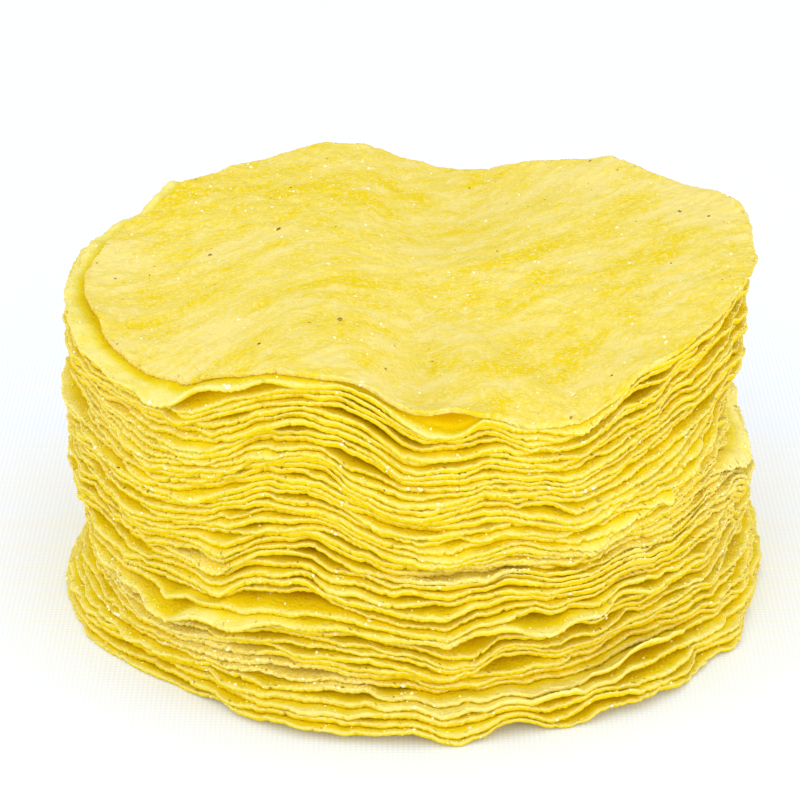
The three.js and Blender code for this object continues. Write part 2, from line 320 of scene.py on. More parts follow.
def gaps_by_chance(draw, count, widths, heights):
    """Gaps between neighbours, spread all over the stack."""
    return [
        (draw.randint(4, sheet_count), draw.uniform(-180, 180),
         draw.uniform(*widths), draw.uniform(*heights))
        for _ in range(count)
    ]


# Openings: lens-shaped gaps, where a group of rims lifts off the group below it. Each entry has
# the number of the lowest sheet that lifts, the angle of the middle, half the width in degrees
# and the height in mm.
OPENINGS = [
    (46, -120, 6, 1.0), (42, -80, 6, 1.6), (42, -93, 3, 1.0), (41, -100, 3, 1.2),
    (36, -102, 3, 1.4), (36, -96, 4, 1.6), (29, -107, 3, 1.2), (34, -74, 4, 1.6),
    (19, -52, 5, 1.0), (8, -64, 6, 1.2), (42, -122, 5, 1.0), (41, -117, 4, 1.0),
    (40, -111, 4, 1.3), (39, -120, 4, 1.0), (35, -128, 6, 1.4), (37, -136, 6, 1.0),
    (12, -84, 10, 1.0), (38, -62, 8, 0.9), (29, -69, 6, 1.0), (22, -42, 3, 1.8),
    (23, -35, 3, 1.8), (26, -40, 4, 1.8),
]
OPENINGS += gaps_by_chance(random, count=54, widths=(3, 9), heights=(0.6, 1.7))
OPENING_SHARE = 0.5
OPENING_REACH = 4.0
for lowest, middle, width, height in OPENINGS:
    lens = height * hump(middle, width)
    for k in range(sheet_count):
        away = k + 1 - lowest if k + 1 >= lowest else lowest - 2 - k
        share = OPENING_SHARE if k + 1 >= lowest else -OPENING_SHARE
        parting[k] += share * lens * math.exp(-away / OPENING_REACH)

# Steps: places where a group of rims turns up sharply. Each entry has the angle and height of its
# middle, the height of the step, and how far it reaches in mm and in degrees.
STEPS = [(-38.0, 46.0, 1.4, 3.5, 10.0), (-66.0, 22.0, 0.5, 6.0, 9.0)]
STEP_EDGE = 1.3
for middle, height, size, depth, reach in STEPS:
    off = sector_degrees - middle
    turn = np.tanh(off / STEP_EDGE) * np.exp(-abs(off) / reach)
    waves += size * turn[None, :] * band(height, depth)

# Crimps: pleats that pass aslant through a group of sheets. Each entry has the angle and height of
# its middle, its spread in degrees and in mm, the pleats' pitch in degrees and their depth in mm.
CRIMPS = [
    (-49, 35, 8, 5.0, 5.2, 0.7),
    (-60, 24, 12, 6.0, 8.0, 0.35),
    (-22, 30, 18, 14.0, 5.4, 0.3),
    (-84, 36.5, 11, 1.6, 5.0, 0.9),
    (-80, 9, 20, 3.0, 7.0, 0.7),
    (-30, 8, 24, 5.0, 8.2, 0.4),
]
CRIMP_SLANT = 0.35
for middle, height, spread, depth, pitch, size in CRIMPS:
    slant = (rim_level - height) * CRIMP_SLANT
    turn = (sector_degrees[None, :] - middle + slant) / pitch
    pleat = 2 * abs(2 * (turn - np.floor(turn + 0.5))) - 1
    near = hump(middle, spread)[None, :] * band(height, depth)
    waves += size * pleat * near

# Flaps: a stretch of one rim that reaches out past its neighbours and droops. Each entry has the
# sheet's number, the angle, half the width in degrees, the reach and the droop in mm.
FLAPS = [
    (34, -136.0, 7.0, 1.2, 0.8), (14, -124.0, 10.0, 0.8, 0.6),
    (40, -60.0, 8.0, 0.8, 0.5), (29, -92.0, 9.0, 0.8, 0.5),
    (29, -41.0, 4.0, 1.8, 0.0), (30, -40.5, 4.0, 2.0, 0.0),
]
flap_reach = np.zeros((sheet_count, SECTORS))
flap_droop = np.zeros((sheet_count, SECTORS))
for number, middle, width, reach, droop in FLAPS:
    flap_reach[number - 1] += reach * hump(middle, width)
    flap_droop[number - 1] += droop * hump(middle, width)
rim_radius += flap_reach

# Hems: a longer stretch of one rim that is folded over like a lip, or curls up where its droop is
# less than 0. Each entry has the sheet's number, the angles of its ends, how soon it starts in
# degrees, and the reach and droop in mm.
HEMS = [
    (28, -58.8, -44.0, 1.2, 1.4, 2.2), (24, -27.0, -8.0, 7.0, 1.2, 1.5),
    (5, -62.0, -51.0, 8.0, 0.5, -2.3), (5, -54.0, -37.0, 13.0, 0.4, -1.5),
    (4, -73.0, -65.0, 3.0, 0.0, -3.2), (2, -64.0, -56.0, 3.0, 0.0, -3.2),
]
hem_droop = np.zeros((sheet_count, SECTORS))
for number, start, end, ease, reach, droop in HEMS:
    stretch = np.clip(np.minimum(sector_degrees - start, end - sector_degrees) / ease + 0.5, 0, 1)
    stretch = stretch ** 2 * (3 - 2 * stretch)
    rim_radius[number - 1] += reach * stretch
    hem_droop[number - 1] += droop * stretch

# What happens at a rim is felt less and less inwards, over a decay in mm, and the middle of a
# sheet lies still.
STILL_UNTIL = 40.0
STILL_EDGE = 20.0
WAVE_DECAY = 9.0
PARTING_DECAY = 13.0
DROOP_DECAY = 3.0
TOP_SHARE = 0.35
quiet = np.clip((COLUMN_RADII[:, None] - STILL_UNTIL) / STILL_EDGE, 0, 1)


def near_rim(k, decay):
    """How much of a change at the rim of sheet k is felt in each column and sector."""
    inside = np.maximum(0, rim_radius[k][None, :] - COLUMN_RADII[:, None])
    return np.exp(-inside / decay)


for k in range(sheet_count):
    share = TOP_SHARE if k == sheet_count - 1 else 1.0
    laid[k] += share * quiet * waves[k] * near_rim(k, WAVE_DECAY)
    laid[k] += share * quiet * parting[k] * near_rim(k, PARTING_DECAY)
    laid[k] -= quiet * flap_droop[k] * near_rim(k, DROOP_DECAY)

# Each rim's own outline, a little uneven. It stays inside the outline of the solid's whole stack.
TOP_OUTLINE = 0.4
GRIT_ROOM = 0.4
LEAST_FACING = 0.2
outline = drifting(30, 160, size=0.50, kept=0.1)
outline += drifting(9, 30, size=0.24, kept=0.1)
outline += drifting(4, 9, size=0.05, kept=0.2)
outline[-1] *= TOP_OUTLINE
rim_radius += outline
for side, limit in (
    (np.cos(sector_angles), cad_high.x), (-np.cos(sector_angles), -cad_low.x),
    (np.sin(sector_angles), cad_high.y), (-np.sin(sector_angles), -cad_low.y),
):
    furthest = (limit / MM - GRIT_ROOM) / np.maximum(side, LEAST_FACING)
    rim_radius = np.minimum(rim_radius, np.where(side > LEAST_FACING, furthest, np.inf))
thickness = THICKNESS + THICKNESS_SPREAD * np.clip(
    random.normal(size=(sheet_count, 1)) * 0.6 + drifting(12, 60, size=0.5, kept=0.0), -1, 1
)
thickness *= 1 - PRESSED * hump(-65, 12)

# Settling: the spare room between neighbours gathers in a few long gaps, and the rims between
# those press together in groups.
SETTLING = 1.6
SETTLED_RADIUS = 72.0
GROUP_SPAN = 4
MEAN_SPAN = 6
TOP_SETTLING = 0.4


def sheets_near(k, span, count):
    """The sheets up to a number of places below and above sheet k."""
    return slice(max(0, k - span), min(count, k + span + 1))


leaning = np.exp(SETTLING * drifting(25, 120, size=1.0, kept=0.1))
loose = laid[:, int(np.searchsorted(COLUMN_RADII, SETTLED_RADIUS)), :]
step_room = thickness[:-1] + LEAST_GAP
spare = np.maximum(0, np.diff(loose, axis=0) - step_room)
gathered = np.zeros_like(spare)
for k in range(sheet_count - 1):
    group = sheets_near(k, GROUP_SPAN, sheet_count - 1)
    gathered[group] += spare[k] * leaning[:-1][group] / leaning[:-1][group].sum(axis=0)
settled = np.concatenate([loose[:1], loose[:1] + np.cumsum(step_room + gathered, axis=0)])
shift = settled - loose
for k in range(sheet_count):
    moved = shift[k] - shift[sheets_near(k, MEAN_SPAN, sheet_count)].mean(axis=0)
    share = TOP_SETTLING if k == sheet_count - 1 else 1.0
    laid[k] += share * quiet * moved * near_rim(k, PARTING_DECAY)

# Crests: the lines along which the plainest rims run. Each sheet's number has the angles and the
# heights that its crest passes through. The sheets near it follow it in part.
CRESTS = {
    46: [(-158, 73), (-148, 70.5), (-138, 69.5), (-134, 70), (-128.5, 71.5), (-126.5, 73.5), (-123, 76),
         (-119, 76.5), (-116, 78.5), (-113, 80), (-103, 80.5), (-100.5, 80.5), (-97.5, 79), (-95, 77),
         (-92.5, 75), (-90, 73.5), (-87.5, 73.5), (-84.5, 74.5), (-82, 74), (-77, 71), (-74, 69),
         (-70, 68), (-63, 66.5), (-59.5, 67), (-56, 69), (-52, 71.5)],
    45: [(-154, 70.5), (-140.5, 69), (-137.5, 69), (-134, 67.5), (-130.5, 68), (-128, 70),
         (-126.5, 72.5), (-125, 74), (-121, 75), (-119.5, 74.5), (-117, 76), (-113, 78.5), (-110.5, 79),
         (-101, 79), (-97, 77.5), (-95, 75.5), (-90.5, 71), (-88, 69), (-83.5, 68.5), (-82, 70),
         (-79, 72.5), (-76.5, 70.5), (-75, 69), (-73, 66.5), (-70, 65), (-64, 64.5), (-59, 65.5)],
    44: [(-133, 65.5), (-126, 67), (-121, 71), (-117.5, 73), (-111, 75.5), (-107.5, 77), (-102, 78),
         (-99.5, 77.5), (-97, 75.5), (-90, 68.5), (-88, 67), (-83, 67.5), (-80, 69.5), (-76, 69),
         (-74.5, 67), (-72, 65), (-69, 64)],
    32: [(-79, 46.5), (-75.5, 48.5), (-73, 50), (-70, 50.5), (-67.5, 50), (-65.5, 48), (-63, 46),
         (-60, 47), (-50, 51), (-42, 52.5), (-34, 54.5), (-25, 56.5)],
    31: [(-76, 45), (-73, 46.5), (-70, 47.5), (-67.5, 46.5), (-65, 44.5), (-62, 44), (-58.5, 45),
         (-50, 48), (-42, 50), (-34, 52.5), (-25, 55)],
    30: [(-75, 44), (-72, 45), (-70, 45.5), (-68, 44.5), (-65.5, 42), (-63, 40.5), (-61.5, 41),
         (-60, 42.5), (-57, 44), (-50, 45.5), (-43.5, 48), (-40, 49.5), (-36, 50), (-32, 51),
         (-25, 53)],
    28: [(-92, 43.5), (-86, 45), (-83, 45), (-77.5, 41.5), (-75, 42.5), (-73, 43.5), (-70, 43),
         (-66.5, 40.5), (-64.5, 38.5), (-60.5, 38), (-59, 40), (-57.5, 42), (-52, 43), (-44, 42.5),
         (-38, 42.5), (-32, 44.5), (-25, 48)],
    27: [(-90, 39.5), (-86, 40), (-80, 39.5), (-75, 40.5), (-73, 40.5), (-70, 40), (-63, 37),
         (-60.5, 36.5), (-56, 38.5), (-46, 39), (-40, 39.5), (-32, 43), (-25, 47)],
    24: [(-34, 40.5), (-30, 41), (-25.5, 40.5), (-21, 38), (-18, 36.5), (-14, 35), (-10, 34), (-4, 35),
         (3, 38.5)],
    20: [(-141, 26), (-137, 30), (-133.5, 32), (-126.5, 32.5), (-122, 30.5), (-119.5, 34), (-114, 39.5),
         (-111, 40), (-103, 39.5)],
    16: [(-146, 22.5), (-136, 26.5), (-129, 27.5), (-122, 25), (-119.5, 28), (-117, 30), (-111, 30),
         (-108, 32.5), (-105.5, 32.5), (-103, 31.5)],
    14: [(-134, 17.5), (-130.5, 17.5), (-125, 23), (-122.5, 23.5), (-120.5, 22), (-117.5, 22),
         (-113.5, 24.5), (-110, 24.5), (-106.5, 23.5), (-102, 25.5), (-97, 24), (-92, 24), (-85, 23)],
}
# A line eases in over some degrees at its ends, is smoothed by some passes, and runs along the rim
# at a share of its thickness. It pulls other sheets less with each that lies between.
CREST_EASE = 3.0
CREST_PASSES = 14
CREST_RISE = 0.9
CREST_FOLLOW = 3.5
CREST_HOLD = 5.0
CREST_DECAY = 6.0
CREST_DECAYS = {45: 3.5, 46: 13.0}
HEM_DECAY = 1.8
lines = []
for number in sorted(CRESTS):
    angles, heights = np.array(CRESTS[number], float).T
    line = np.interp(sector_degrees, angles, heights)
    for _ in range(CREST_PASSES):
        line = (np.roll(line, 1) + 2 * line + np.roll(line, -1)) / 4
    k = number - 1
    crest = np.array([np.interp(rim_radius[k][s], COLUMN_RADII, laid[k][:, s]) for s in range(SECTORS)])
    crest += CREST_RISE * thickness[k]
    ends = np.minimum(sector_degrees - angles[0], angles[-1] - sector_degrees)
    lines.append((k, (line - crest) * np.clip(ends / CREST_EASE, 0, 1)))
held = np.ones(sheet_count)
held[[k for k, _ in lines]] = CREST_HOLD
for k in range(sheet_count):
    nearest = [line for line in lines if line[0] <= k][-1:] + [line for line in lines if line[0] >= k][:1]
    pull = [math.exp(-abs(k - other) / CREST_FOLLOW) for other, _ in nearest]
    moved = sum(share * move for share, (_, move) in zip(pull, nearest)) / max(1.0, sum(pull))
    laid[k] += quiet * moved * near_rim(k, CREST_DECAYS.get(k + 1, CREST_DECAY))
    laid[k] -= hem_droop[k] * near_rim(k, HEM_DECAY)

# Small gaps between two neighbours, given as the openings are.
SMALL_GAPS = [
    (22, -97.5, 1.6, 1.2), (23, -89.5, 2.4, 1.3), (25, -84.5, 1.8, 1.2), (23, -79, 1.4, 1.0),
    (24, -73, 1.6, 1.1), (20, -96.5, 2.0, 1.3), (21, -93.5, 1.2, 1.1), (19, -91, 1.6, 0.9),
    (18, -99.5, 1.4, 1.1), (17, -76, 2.0, 0.9), (36, -77, 1.4, 1.0), (30, -73.5, 1.6, 1.1),
    (42, -102, 1.6, 1.0), (39, -99.5, 1.6, 1.1), (42, -90.5, 1.4, 0.9), (41, -87.5, 1.6, 0.9),
    (37, -101.5, 1.6, 1.0), (24, -34, 2.2, 2.4), (21, -36, 1.6, 1.1), (23, -42.5, 2.0, 2.2),
    (21, -50.5, 1.4, 1.2), (17, -42.5, 1.4, 1.2), (20, -57, 1.4, 1.2), (19, -137.5, 2.4, 1.2),
    (19, -118, 3.0, 1.0), (20, -112.5, 2.0, 1.2), (17, -107, 1.6, 1.0), (11, -118, 4.0, 1.2),
    (11, -104.5, 2.4, 1.2), (8, -111.5, 1.6, 1.1), (7, -104, 1.6, 1.0), (4, -55.5, 1.6, 1.4),
    (16, -62, 2.2, 1.0), (15, -54.5, 2.0, 1.0), (17, -52, 1.6, 1.0), (5, -37, 2.6, 1.6),
]
SMALL_GAPS += gaps_by_chance(
    np.random.RandomState(SEED + 1), count=90, widths=(1.2, 2.6), heights=(0.5, 1.2)
)
GAP_RISE = 0.6
GAP_SINK = 0.4
GAP_SHEETS = 4
GAP_REACH = 1.3
GAP_DECAY = 5.0
for lowest, middle, width, height in SMALL_GAPS:
    first = max(0, lowest - 1 - GAP_SHEETS)
    for k in range(first, min(sheet_count - 1, lowest - 1 + GAP_SHEETS)):
        away = k + 1 - lowest if k + 1 >= lowest else lowest - 2 - k
        share = GAP_RISE if k + 1 >= lowest else -GAP_SINK
        lift = quiet * share * height * hump(middle, width) * math.exp(-away / GAP_REACH)
        laid[k] += lift * near_rim(k, GAP_DECAY)

# From this radius outwards the thickness differs fully round a sheet.
EVEN_FROM = 70.0
# What a sheet still weighs past its own rim.
FAINT = 1e-4


def thickness_at(k, radius, sectors=slice(None)):
    """Thickness of sheet k, which differs round the rim and evens out towards the middle."""
    even = thickness[k].mean()
    return even + (thickness[k][sectors] - even) * np.minimum(radius / EVEN_FROM, 1.0) ** 2


def set_apart(under, present, room):
    """Moves stacked heights as little as possible until each has its room above the last.

    This is a weighted isotonic fit for every column at once. A sheet fades away past its rim, where
    it has next to no weight and takes no room. A sheet that follows its own line is held more.
    """
    weight = present * held[:, None, None] + FAINT
    below = np.concatenate([np.zeros_like(room[:1]), np.cumsum(room, axis=0)[:-1]])
    level = under - below
    total = np.concatenate([np.zeros_like(weight[:1]), np.cumsum(weight, axis=0)])
    moment = np.concatenate([np.zeros_like(weight[:1]), np.cumsum(weight * level, axis=0)])
    best = np.full_like(level, -np.inf)
    for i in range(len(level)):
        means = (moment[i + 1:] - moment[i]) / (total[i + 1:] - total[i])
        least = np.minimum.accumulate(means[::-1], axis=0)[::-1]
        best[i:] = np.maximum(best[i:], least)
    return best, below


# A sheet fades away between these two distances past its rim.
FADE_FROM = 0.7
FADE_TO = 2.2
past_rim = COLUMN_RADII[None, :, None] - rim_radius[:, None, :]
present = np.clip((FADE_TO - past_rim) / (FADE_TO - FADE_FROM), 0, 1)
room = np.array([[thickness_at(k, radius) for radius in COLUMN_RADII] for k in range(sheet_count)])
room = present * (room + LEAST_GAP)
level, below = set_apart(laid, present, room)
highest = cad_high.z / MM - GRIT_ROOM - thickness[-1][None, :] - below[-1]
level = np.clip(level, 0.0, np.maximum(highest, 0.0)[None])
laid = level + below

# Towards the middle the waves would run together into a star, so they are smoothed away there.
EVEN_REACH = 7.0
EVEN_RADIUS = 45.0
counts = np.arange(SECTORS // 2 + 1)
for c in np.nonzero(COLUMN_RADII < EVEN_RADIUS)[0]:
    spread = EVEN_REACH / max(COLUMN_RADII[c], 1.0) * (1 - COLUMN_RADII[c] / EVEN_RADIUS)
    kept = np.exp(-0.5 * (np.maximum(counts - 1, 0) * spread) ** 2)
    laid[:, c] = np.fft.irfft(np.fft.rfft(laid[:, c]) * kept, SECTORS)


def height_at(k, radius, sectors=slice(None)):
    """Underside of sheet k at one radius per sector."""
    column = np.clip(np.searchsorted(COLUMN_RADII, radius, side="right") - 1, 0, len(COLUMN_RADII) - 2)
    low, high = COLUMN_RADII[column], COLUMN_RADII[column + 1]
    share = (radius - low) / (high - low)
    every = np.arange(SECTORS)[sectors]
    return laid[k, column, every] * (1 - share) + laid[k, column + 1, every] * share


# ================================================================ dough
# Nixtamal masa, pressed thin and briefly dried: pale cream-yellow, with patches of stronger
# yellow, white grits of maize, and a mealy grain. Away from the rim's pale crest, deeper yellow and
# brown-gold are painted in as shade.

DOUGH_ROUGHNESS = 0.85
DOUGH_SHINE = 0.03


def new_group(name, inputs, output):
    """An empty shader node group with a vector, some number inputs and one number output."""
    group = bpy.data.node_groups.new(name, "ShaderNodeTree")
    group.interface.new_socket("Vector", in_out="INPUT", socket_type="NodeSocketVector")
    for label, value in inputs.items():
        socket = group.interface.new_socket(label, in_out="INPUT", socket_type="NodeSocketFloat")
        socket.default_value = value
    group.interface.new_socket(output, in_out="OUTPUT", socket_type="NodeSocketFloat")
    return group, group.nodes.new("NodeGroupInput"), group.nodes.new("NodeGroupOutput")


def add_group(tree, group, inputs):
    """A shared effect placed in a material with its own values."""
    return add_node(tree, "ShaderNodeGroup", inputs, node_tree=group).outputs[0]


def add_noise(tree, vector, scale, detail, roughness):
    inputs = {"Vector": vector, "Scale": scale, "Detail": detail, "Roughness": roughness}
    return add_node(tree, "ShaderNodeTexNoise", inputs).outputs["Fac"]


def add_range(tree, value, low, high, new_low=0.0, new_high=1.0):
    """A value eased from one range into another, and held at the ends."""
    inputs = {"Value": value, "From Min": low, "From Max": high, "To Min": new_low, "To Max": new_high}
    return add_node(tree, "ShaderNodeMapRange", inputs, interpolation_type="SMOOTHSTEP").outputs["Result"]


def add_weighed(tree, *parts):
    """The sum of some values, each times its own weight."""
    weighed = [add_math(tree, "MULTIPLY", value, weight) for value, weight in parts]
    total = weighed[0]
    for value in weighed[1:]:
        total = add_math(tree, "ADD", total, value)
    return total


# Patches where the dough is stronger in colour, with softer clouds around them.
mottle, asked, given = new_group("dough_mottle", {"Patch Scale": 130.0, "Amount": 0.5}, "Patches")
clouds = add_noise(mottle, asked.outputs["Vector"], asked.outputs["Patch Scale"], 4.0, 0.62)
fine_scale = add_math(mottle, "MULTIPLY", asked.outputs["Patch Scale"], 4.5)
fine = add_noise(mottle, asked.outputs["Vector"], fine_scale, 3.0, 0.6)
both = add_weighed(mottle, (clouds, 0.72), (fine, 0.28))
start = add_math(mottle, "SUBTRACT", 0.64, add_math(mottle, "MULTIPLY", asked.outputs["Amount"], 0.3))
finish = add_math(mottle, "ADD", start, 0.16)
mottle.links.new(add_range(mottle, both, start, finish), given.inputs["Patches"])

# White and cream grits of maize that lie in the surface.
grits, asked, given = new_group("maize_grits", {"Grit Scale": 420.0, "Share": 0.5}, "Grits")
cells = add_node(grits, "ShaderNodeTexVoronoi", {
    "Vector": asked.outputs["Vector"], "Scale": asked.outputs["Grit Scale"],
})
pick = add_node(grits, "ShaderNodeSeparateColor", {"Color": cells.outputs["Color"]})
size = add_math(grits, "MULTIPLY", pick.outputs["Green"], 0.34)
chosen = add_math(grits, "LESS_THAN", pick.outputs["Red"], asked.outputs["Share"])
spot = add_range(grits, cells.outputs["Distance"], size, add_math(grits, "MULTIPLY", size, 0.4))
grits.links.new(add_math(grits, "MULTIPLY", spot, chosen), given.inputs["Grits"])

# The mealy grain and small pores of the surface.
grain, asked, given = new_group("meal_grain", {"Grain Scale": 1500.0, "Pores": 0.5}, "Height")
meal = add_noise(grain, asked.outputs["Vector"], asked.outputs["Grain Scale"], 3.0, 0.6)
pore_scale = add_math(grain, "MULTIPLY", asked.outputs["Grain Scale"], 0.35)
pore_field = add_noise(grain, asked.outputs["Vector"], pore_scale, 1.0, 0.5)
pores = add_math(grain, "MULTIPLY", add_range(grain, pore_field, 0.42, 0.30), asked.outputs["Pores"])
grain.links.new(add_math(grain, "SUBTRACT", meal, pores), given.inputs["Height"])


def finish_dough(tree, shader, where, colour, grit_share, grit_colour, bump_mm):
    """Grits, grain and pores over the dough's colour."""
    spots = add_group(tree, grits, {"Vector": where, "Grit Scale": 430.0, "Share": grit_share})
    relief = add_group(tree, grain, {"Vector": where, "Grain Scale": 1500.0, "Pores": 0.4})
    tree.links.new(add_colours(tree, spots, colour, grit_colour), shader.inputs["Base Color"])
    height = add_math(tree, "ADD", relief, add_math(tree, "MULTIPLY", spots, 0.6))
    bump = add_node(tree, "ShaderNodeBump", {"Strength": 0.9, "Distance": bump_mm * MM, "Height": height})
    tree.links.new(bump.outputs["Normal"], shader.inputs["Normal"])


# The dough of the rims. The crest is pale, partly dry dough and partly a painted highlight, and a face
# that lies in the open is pale too. Painted golden shade lies on the lower cut face and near the rim of
# the sheet above, and painted brown-gold shade lies deep in the gaps.
SIDE_PALE = (0.79, 0.67, 0.055)
SIDE_STRONG = (0.78, 0.62, 0.006)
OPEN_FACE = (0.87, 0.775, 0.26)
# painted shade: golden on the lower cut face and near the rim of the sheet above
PAINTED_GOLDEN_SHADE = (0.80, 0.58, 0.002)
# painted shade: brown-gold deep in the gaps
PAINTED_DEEP_SHADE = (0.82, 0.43, 0.0)
# pale crest: partly dry dough, partly a painted highlight
DRY_RIM_AND_HIGHLIGHT = (0.83, 0.715, 0.22)
MEALY = (0.87, 0.75, 0.26)
SIDE_GRITS = (0.97, 0.91, 0.58)
THROUGH_LIGHT = (0.27, 0.22, 0.0)

side_dough, tree, shader, where = start_material("masa_side", DOUGH_ROUGHNESS, DOUGH_SHINE)
fall, under, tint, flour, lit = (
    add_node(tree, "ShaderNodeAttribute", {}, attribute_name=label).outputs["Fac"]
    for label in ("fall", "under", "tint", "flour", "lit")
)
patches = add_group(tree, mottle, {"Vector": where, "Patch Scale": 260.0, "Amount": 0.8})
clouds = add_noise(tree, where, 230.0, 4.0, 0.65)
meal = add_noise(tree, where, 1500.0, 2.0, 0.6)
in_the_open = add_range(tree, under, -0.6, -3.0)
bleached = add_math(tree, "MULTIPLY", in_the_open, add_range(tree, clouds, 0.38, 0.60, 0.45, 0.9))
# the pale crest: partly dry dough, partly a painted highlight where the crest catches the light
on_the_edge = add_range(tree, fall, 0.4, 0.05, 0.0, 0.9)
dry_and_highlight = add_math(tree, "MULTIPLY", on_the_edge, add_range(tree, meal, 0.36, 0.60, 0.4, 1.0))
crushed = add_range(tree, flour, 0.15, 0.9, 0.0, 0.75)
dusty = add_math(tree, "MULTIPLY", crushed, add_range(tree, meal, 0.40, 0.58, 0.15, 1.0))
colour = add_colours(tree, patches, SIDE_PALE, SIDE_STRONG)
for share, over in (
    (add_range(tree, tint, 0.0, 1.0, 0.0, 0.3), SIDE_STRONG), (bleached, OPEN_FACE),
    # painted shade: golden near the rim of the sheet above and on the lower cut face, brown-gold deep in
    # the gaps
    (add_range(tree, under, -1.2, 0.8, 0.0, 0.85), PAINTED_GOLDEN_SHADE),
    (add_range(tree, fall, 0.45, 0.8, 0.0, 0.85), PAINTED_GOLDEN_SHADE),
    (add_range(tree, under, 3.0, 7.5, 0.0, 0.95), PAINTED_DEEP_SHADE), (dry_and_highlight, DRY_RIM_AND_HIGHLIGHT), (dusty, MEALY),
):
    colour = add_colours(tree, share, colour, over)
finish_dough(tree, shader, where, colour, 0.07, SIDE_GRITS, 0.30)

# A painted glow on the faces in the gaps stands for the daylight that comes through the top tortilla,
# and a little through the others. The glow only colours the faces, and lights nothing else.
glow = add_math(tree, "MULTIPLY", add_range(tree, under, 0.0, 2.6), lit)
glow = add_math(tree, "MULTIPLY", glow, add_range(tree, fall, 0.4, 0.8, 1.0, 0.12))
tree.links.new(add_colours(tree, glow, (0.0, 0.0, 0.0), THROUGH_LIGHT), shader.inputs["Emission Color"])
shader.inputs["Emission Strength"].default_value = 1.0
side_dough.cycles.emission_sampling = "NONE"

# The dough of the top face: mealy, with clouds, patches and short streaks of stronger yellow that
# run aslant, the way it went through the rollers.
TOP_PALE = (0.84, 0.70, 0.21)
TOP_MIDDLE = (0.81, 0.65, 0.095)
TOP_STRONG = (0.79, 0.60, 0.012)
TOP_MEALY = (0.87, 0.75, 0.30)
TOP_GRITS = (0.96, 0.92, 0.66)
ROLLED_ALONG = math.radians(35)


def add_stretched_noise(tree, where, along_mm, across_mm, detail):
    """Noise whose marks are long in the direction of rolling and short across it."""
    marks = add_node(tree, "ShaderNodeMapping", {
        "Vector": where, "Rotation": (0, 0, ROLLED_ALONG),
        "Scale": (along_mm * MM, across_mm * MM, across_mm * MM * 3),
    }, vector_type="TEXTURE")
    return add_noise(tree, marks.outputs["Vector"], 1.0, detail, 0.6)


# Places of stronger colour, or paler ones where the amount is less than 0. Each entry has the
# middle in mm, the half lengths along and across in mm, the turn in degrees, and the amount.
COLOUR_PLACES = [
    (-55, 41, 15, 8, 50, 0.22), (-22, 43, 44, 22, 5, 0.05), (-14, 37, 8, 5, 0, 0.09),
    (-5, 50, 7, 5, 0, 0.08), (-22, -22, 34, 4, 30, 0.15), (6, -9, 17, 6, 22, 0.12),
    (27, 9, 18, 6, 38, 0.20), (44, -3, 28, 8, 12, 0.10), (24, -44, 28, 17, 30, 0.06),
    (18, -52, 8, 7, 0, 0.09), (57, -52, 8, 6, 0, 0.09), (46, -29, 6, 4, 0, 0.08),
    (-45, -42, 36, 14, 20, -0.07), (68, 24, 18, 22, 0, -0.12), (40, 50, 28, 15, -15, -0.07),
    (-68, 8, 18, 20, 0, -0.07), (10, -29, 24, 9, 25, -0.06),
]


def add_place(tree, where, x, y, along_mm, across_mm, turn, amount):
    """A soft oval on the top face."""
    oval = add_node(tree, "ShaderNodeMapping", {
        "Vector": where, "Location": (x * MM, y * MM, 0), "Rotation": (0, 0, math.radians(turn)),
        "Scale": (along_mm * MM, across_mm * MM, 1.0),
    }, vector_type="TEXTURE")
    away = add_node(tree, "ShaderNodeVectorMath", {0: oval.outputs["Vector"]}, operation="LENGTH")
    return add_range(tree, away.outputs["Value"], 1.0, 0.0, 0.0, amount)


top_dough, tree, shader, where = start_material("masa_top", DOUGH_ROUGHNESS, DOUGH_SHINE)
clouds = add_stretched_noise(tree, where, 30.0, 15.0, 3.0)
marks = add_stretched_noise(tree, where, 11.0, 4.5, 4.0)
flecks = add_stretched_noise(tree, where, 2.6, 1.1, 3.0)
tone = add_weighed(tree, (clouds, 0.24), (marks, 0.52), (flecks, 0.24))
for oval in COLOUR_PLACES:
    tone = add_math(tree, "ADD", tone, add_place(tree, where, *oval))
colour = add_colours(tree, add_range(tree, tone, 0.41, 0.51), TOP_PALE, TOP_MIDDLE)
colour = add_colours(tree, add_range(tree, tone, 0.51, 0.61), colour, TOP_STRONG)
meal = add_noise(tree, where, 1100.0, 2.0, 0.6)
colour = add_colours(tree, add_range(tree, meal, 0.50, 0.64, 0.0, 0.55), colour, TOP_MEALY)
finish_dough(tree, shader, where, colour, 0.05, TOP_GRITS, 0.35)

# ================================================================ tortillas 1 to 45
# The sheets under the top one, pressed from the same masa, with crumbly rims undercut a little.
# Only their rims and the first millimetres inside show, so the mesh is fine there and coarse
# towards the middle.

# Each row of the cut edge has its depth in mm, the share of the thickness at which it lies, and
# how far it lies down the edge, from 0 on the crest to 1 at the foot. That last number also sets the
# colour: pale on the crest, partly dry and partly a painted highlight, and painted golden shade towards
# the foot.
EDGE_PROFILE = [
    (0.28, 1.0, 0.1), (0.06, 0.97, 0.0), (0.0, 0.80, 0.1),
    (0.10, 0.50, 0.5), (0.24, 0.20, 0.8), (0.48, 0.0, 1.0),
]
# Further in, the rows of the face and of the underside are given by their depth from the rim, and
# then by their radius and number of points.
RIM_DEPTHS = [18.0, 9.0, 5.0, 2.8, 1.4]
UNDER_DEPTHS = [2.6, 12.0]
INNER_RINGS = [(46.0, 180), (22.0, 45), (0.0, 1)]
# The face is a little less dry than the crest and takes none of its painted highlight, and its fall is the
# same all over.
FACE_FALL = 0.4
CRUMBLE = 0.13
CHIPPING = 0.17
NICK_FROM = 1.7
NICK_DEPTH = 3
FLOURY_CRUSH = 0.5

